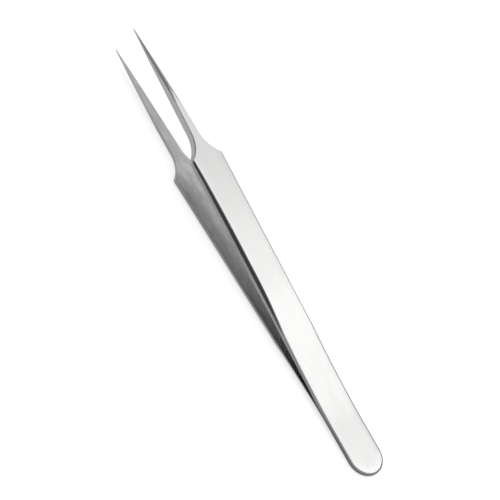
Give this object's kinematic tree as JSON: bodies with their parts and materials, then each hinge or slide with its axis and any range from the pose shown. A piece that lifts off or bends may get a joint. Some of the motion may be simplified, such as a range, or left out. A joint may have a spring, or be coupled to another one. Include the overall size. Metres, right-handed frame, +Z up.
{
  "type": "straight precision tweezers",
  "caption": "Slim steel tweezers with straight needle points, bevelled grips and a half-round welded tail, for picking up small delicate parts.",
  "frame": {"origin": "on the ground under the middle of the length, with the pair lying on the lower arm's outer face", "axes": "+X towards the points, +Y across the width of the arms, +Z up, roughly across the opening between the arms"},
  "size_m": [0.1101, 0.0088, 0.0112],
  "materials": {
    "polished_steel": "bright outer faces, satin edges and finely ground inner faces"
  },
  "bodies": {
    "root": {"upper_arm": "polished_steel", "lower_arm": "polished_steel"}
  },
  "joints": []
}
